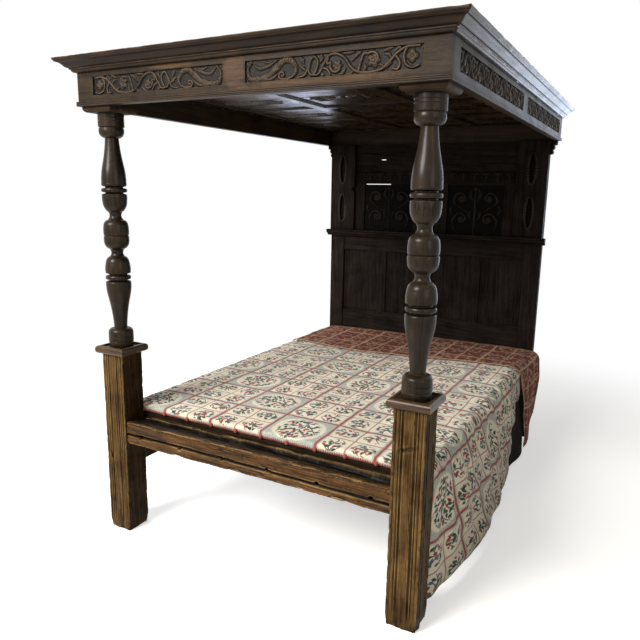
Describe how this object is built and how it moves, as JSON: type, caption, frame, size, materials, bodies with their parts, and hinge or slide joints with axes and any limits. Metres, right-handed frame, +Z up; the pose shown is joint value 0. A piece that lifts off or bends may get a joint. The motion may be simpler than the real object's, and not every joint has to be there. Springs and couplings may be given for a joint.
{
  "type": "four poster bed",
  "caption": "Dark joined oak bed with turned front posts on square pedestals, a panelled headboard and a carved, panelled tester over a patterned coverlet.",
  "frame": {"origin": "on the floor, under the middle of the tester", "axes": "+Z up, +Y from the foot of the bed to the headboard, +X to the right of someone who looks at the foot end"},
  "size_m": [1.686, 2.273, 2.05],
  "materials": {
    "dark oak": "waxed, dark brown, worn lighter on the edges",
    "golden oak": "dry, golden brown, open grained and worn",
    "black oak": "waxed, nearly black",
    "plain oak": "plain sawn, brown",
    "mattress ticking": "plain cotton",
    "woven coverlet": "woven, cream cells in a red-brown grid",
    "wine red throw": "woven, dark red with pale grid lines"
  },
  "bodies": {
    "root": {"bed_boards": "plain oak", "carved_panel_left": "black oak", "carved_panel_right": "black oak", "corbel_left": "black oak", "corbel_right": "black oak", "corner_pad_left": "dark oak", "corner_pad_right": "dark oak", "cornice_front": "dark oak", "cornice_left": "dark oak", "cornice_right": "dark oak", "coverlet": "woven coverlet", "foot_board": "plain oak", "foot_rail": "golden oak", "frieze_front": "dark oak", "frieze_left": "dark oak", "frieze_right": "dark oak", "head_throw": "wine red throw", "headboard_bottom_rail": "black oak", "headboard_ledge": "black oak", "headboard_middle_rail": "black oak", "headboard_pegs": "black oak", "headboard_stile_left": "black oak", "headboard_stile_right": "black oak", "headboard_top_rail": "black oak", "lower_muntin_left": "black oak", "lower_muntin_middle": "black oak", "lower_muntin_right": "black oak", "lower_panel_1": "black oak", "lower_panel_2": "black oak", "lower_panel_3": "black oak", "lower_panel_4": "black oak", "mattress": "mattress ticking", "pedestal_cap_left": "golden oak", "pedestal_cap_right": "golden oak", "pedestal_left": "golden oak", "pedestal_right": "golden oak", "pilaster_left": "black oak", "pilaster_right": "black oak", "post_left": "dark oak", "post_right": "dark oak", "reeded_moulding_front": "dark oak", "reeded_moulding_left": "dark oak", "reeded_moulding_right": "dark oak", "side_rail_left": "plain oak", "side_rail_right": "plain oak", "soffit_back_rail": "dark oak", "soffit_cross_rails": "dark oak", "soffit_front_rail": "dark oak", "soffit_muntin_left": "dark oak", "soffit_muntin_right": "dark oak", "soffit_panels_left": "dark oak", "soffit_panels_middle": "dark oak", "soffit_panels_right": "dark oak", "soffit_stile_left": "dark oak", "soffit_stile_right": "dark oak", "tester_back_rail": "dark oak", "upper_muntin_left": "black oak", "upper_muntin_middle": "black oak", "upper_muntin_right": "black oak"}
  },
  "joints": []
}
